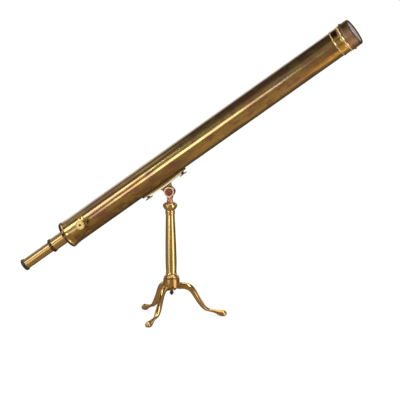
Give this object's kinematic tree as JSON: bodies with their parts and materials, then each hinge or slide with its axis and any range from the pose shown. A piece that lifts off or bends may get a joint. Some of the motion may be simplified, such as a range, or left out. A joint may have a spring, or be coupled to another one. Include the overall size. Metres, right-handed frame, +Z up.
{
  "type": "refracting telescope on pillar stand",
  "caption": "Brass refracting telescope with rack focusing and sliding eyepiece, tilting and swivelling on a turned pillar with three folding cabriole legs.",
  "frame": {"origin": "on the pillar axis, in the plane the three feet stand on", "axes": "+Z up along the pillar; the tube lies in the XZ plane with its objective toward +X; the focusing knob is on the -Y side; +Y completes the right-handed frame"},
  "size_m": [1.0917, 0.2888, 0.9293],
  "materials": {
    "aged_brass": "aged lacquered, olive-brown with worn golden streaks",
    "bright_brass": "polished, lightly aged",
    "brown_brass": "oxidised dark brown, satin",
    "black_lacquer": "black lacquer, satin",
    "blued_steel": "darkened steel",
    "lens_glass": "polished clear glass",
    "leather": "waxed leather"
  },
  "bodies": {
    "stand": {"pillar": "bright_brass", "tripod_hub": "bright_brass", "leg_hinge_pins": "blued_steel", "hub_washer": "bright_brass", "hub_bolt": "blued_steel"},
    "leg_1": {"leg_1": "bright_brass"},
    "leg_2": {"leg_2": "bright_brass"},
    "leg_3": {"leg_3": "bright_brass"},
    "head": {"swivel_head": "bright_brass", "spindle_washer": "bright_brass", "spindle_nut": "blued_steel", "tilt_screw": "blued_steel", "tilt_washers": "leather"},
    "telescope": {"body_tube": "aged_brass", "tail_ring": "aged_brass", "draw_collar": "bright_brass", "inner_guide_ring": "brown_brass", "tube_stop_rear": "black_lacquer", "tube_stop_front": "black_lacquer", "objective_collar": "bright_brass", "objective_cell": "brown_brass", "flint_lens": "lens_glass", "lens_spacer_ring": "brown_brass", "crown_lens": "lens_glass", "objective_rim": "black_lacquer", "pinion_plate": "bright_brass", "pinion_plate_screws": "blued_steel", "saddle_bar": "bright_brass", "saddle_nuts": "bright_brass"},
    "drawtube": {"drawtube": "aged_brass", "drawtube_ring": "brown_brass", "focus_rack": "bright_brass", "rack_screws": "blued_steel"},
    "pinion": {"pinion_shaft": "blued_steel", "focus_knob": "bright_brass", "knob_screw": "blued_steel"},
    "eyepiece": {"eyepiece_tube": "aged_brass", "eye_cap": "black_lacquer", "eye_lens": "lens_glass", "field_lens": "lens_glass", "erector_lens_rear": "lens_glass", "erector_lens_front": "lens_glass", "eyepiece_rings": "brown_brass", "erector_cell": "brown_brass"},
    "rear_thumbscrew": {"rear_thumbscrew": "bright_brass"},
    "front_thumbscrew": {"front_thumbscrew": "bright_brass"}
  },
  "joints": [
    {"name": "azimuth_swivel", "type": "hinge", "parent": "stand", "child": "head", "pos_m": [0, 0, 0.3], "axis": [0, 0, 1], "continuous": true},
    {"name": "altitude_tilt", "type": "hinge", "parent": "head", "child": "telescope", "pos_m": [0, 0, 0.3982], "axis": [0, -1, 0], "range_deg": [-50, 15]},
    {"name": "focus_slide", "type": "slide", "parent": "telescope", "child": "drawtube", "axis": [-0.8192, 0, -0.5736], "range_m": [-0.044, 0.06]},
    {"name": "pinion_spin", "type": "hinge", "parent": "telescope", "child": "pinion", "pos_m": [-0.26847, 0, 0.30043], "axis": [0, -1, 0], "range_deg": [-540, 396]},
    {"name": "eyepiece_slide", "type": "slide", "parent": "drawtube", "child": "eyepiece", "axis": [-0.8192, 0, -0.5736], "range_m": [-0.095, 0.055]},
    {"name": "rear_thumbscrew_turn", "type": "hinge", "parent": "telescope", "child": "rear_thumbscrew", "pos_m": [-0.06777, 0, 0.37992], "axis": [0.5736, 0, -0.8192], "continuous": true},
    {"name": "front_thumbscrew_turn", "type": "hinge", "parent": "telescope", "child": "front_thumbscrew", "pos_m": [0.04158, 0, 0.45649], "axis": [0.5736, 0, -0.8192], "continuous": true},
    {"name": "leg_1_fold", "type": "hinge", "parent": "stand", "child": "leg_1", "pos_m": [0.01922, 0.00551, 0.1015], "axis": [-0.2756, 0.9613, 0], "range_deg": [0, 52]},
    {"name": "leg_2_fold", "type": "hinge", "parent": "stand", "child": "leg_2", "pos_m": [-0.01439, 0.01389, 0.1015], "axis": [-0.6947, -0.7193, 0], "range_deg": [0, 52]},
    {"name": "leg_3_fold", "type": "hinge", "parent": "stand", "child": "leg_3", "pos_m": [-0.00484, -0.01941, 0.1015], "axis": [0.9703, -0.2419, 0], "range_deg": [0, 52]}
  ],
  "couplings": [
    {"joint": "pinion_spin", "follows": "focus_slide", "rad_per_m": -156.25}
  ]
}
